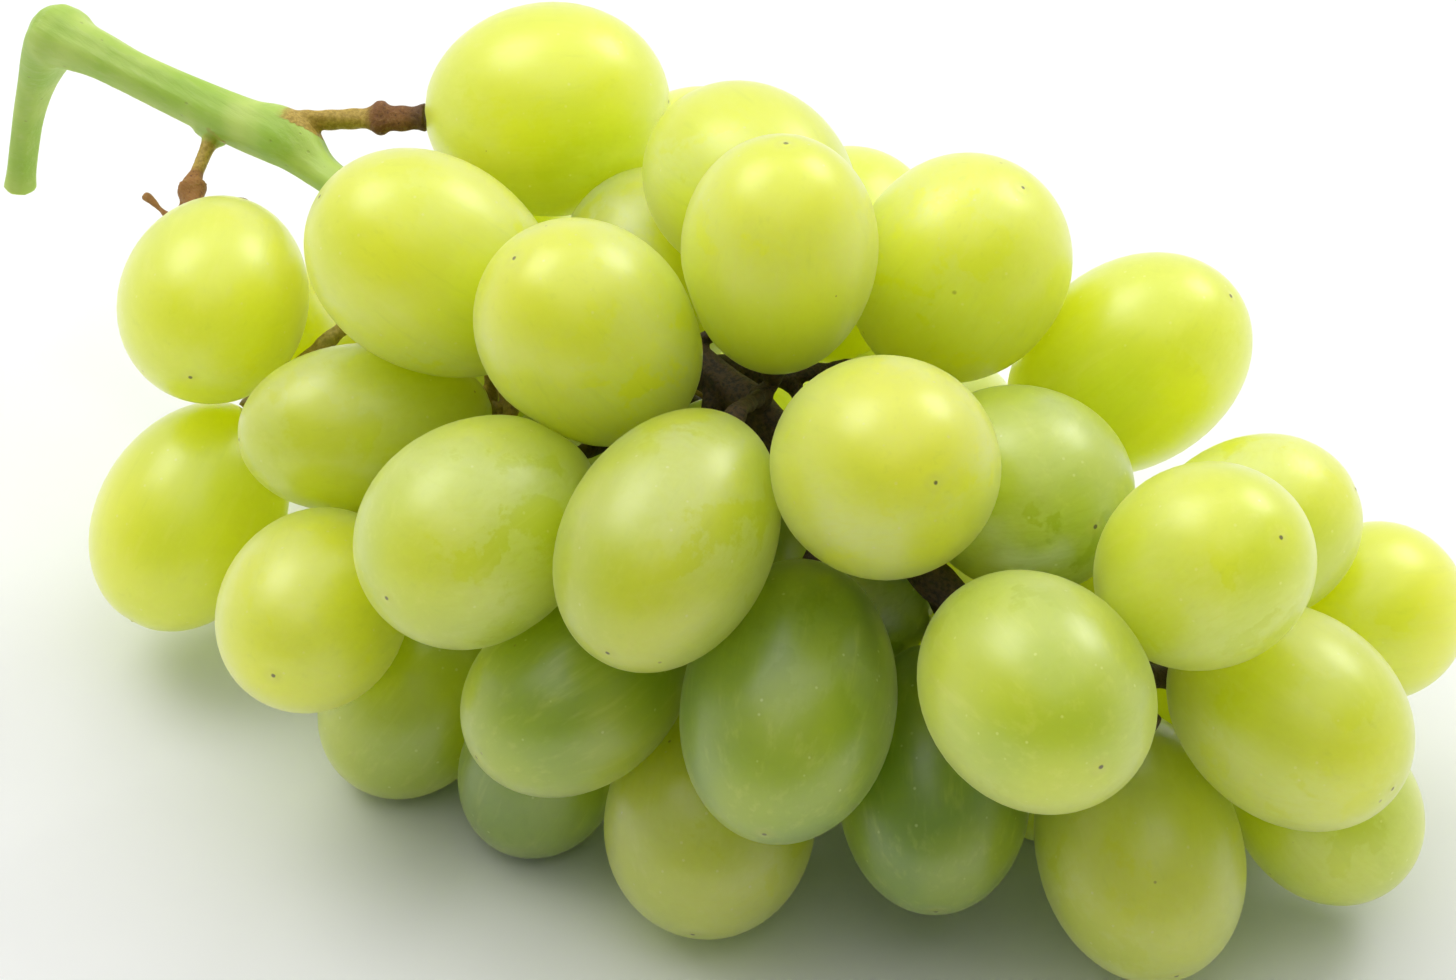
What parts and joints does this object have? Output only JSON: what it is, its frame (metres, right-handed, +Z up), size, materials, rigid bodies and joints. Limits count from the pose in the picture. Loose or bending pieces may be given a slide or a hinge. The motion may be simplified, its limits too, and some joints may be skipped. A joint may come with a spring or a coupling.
{
  "type": "bunch of grapes",
  "caption": "Bunch of green table grapes on a hooked green stalk, lying on its side, each berry on its own small stalk.",
  "frame": {"origin": "middle of the bounding box's bottom, on the surface the bunch lies on", "axes": "+X from the cut stalk to the tip of the bunch, +Z up"},
  "size_m": [0.177, 0.0942, 0.0719],
  "materials": {
    "stem": "living green stalk, woody brown towards the small stalks, satin",
    "berry": "thin translucent skin with a patchy waxy bloom, soft gloss"
  },
  "bodies": {
    "root": {"stem": "stem", "berry_01": "berry", "berry_02": "berry", "berry_03": "berry", "berry_04": "berry", "berry_05": "berry", "berry_06": "berry", "berry_07": "berry", "berry_08": "berry", "berry_09": "berry", "berry_10": "berry", "berry_11": "berry", "berry_12": "berry", "berry_13": "berry", "berry_14": "berry", "berry_15": "berry", "berry_16": "berry", "berry_17": "berry", "berry_18": "berry", "berry_19": "berry", "berry_20": "berry", "berry_21": "berry", "berry_22": "berry", "berry_23": "berry", "berry_24": "berry", "berry_25": "berry", "berry_26": "berry", "berry_27": "berry", "berry_28": "berry", "berry_29": "berry", "berry_30": "berry", "berry_31": "berry", "berry_32": "berry", "berry_33": "berry", "berry_34": "berry", "berry_35": "berry", "berry_36": "berry", "berry_37": "berry", "berry_38": "berry", "berry_39": "berry", "berry_40": "berry", "berry_41": "berry", "berry_42": "berry", "berry_43": "berry", "berry_44": "berry", "berry_45": "berry", "berry_46": "berry", "berry_47": "berry"}
  },
  "joints": []
}
